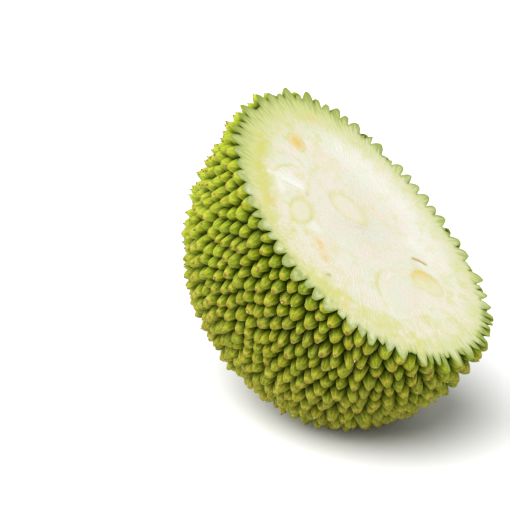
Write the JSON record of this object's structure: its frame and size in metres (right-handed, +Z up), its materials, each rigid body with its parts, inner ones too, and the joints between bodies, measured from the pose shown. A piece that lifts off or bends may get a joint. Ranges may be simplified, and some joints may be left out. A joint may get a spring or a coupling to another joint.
{
  "type": "jackfruit half",
  "caption": "Half of a young jackfruit cut across its middle: green rind packed with blunt spines, pale flat cut face with seeds set in the flesh, resting tilted on its rind.",
  "frame": {"origin": "middle of the base of the bounding box, on the surface that the half rests on", "axes": "+Z up; +X to the right and +Y away as the half lies, with the cut face turned up, towards +X and a little towards -Y"},
  "size_m": [0.2068, 0.208, 0.2206],
  "materials": {
    "rind": "satin green to yellow-green spines, darker in the valleys, with small brown tips",
    "flesh": "moist, fibrous, cream white fading to green at the rim",
    "seed": "moist cut seed, pale with a yellow margin"
  },
  "bodies": {
    "root": {"jackfruit_half": "rind", "seed_top": "seed", "seed_left": "seed", "seed_middle": "seed", "seed_right": "seed", "seed_low": "seed"}
  },
  "joints": []
}
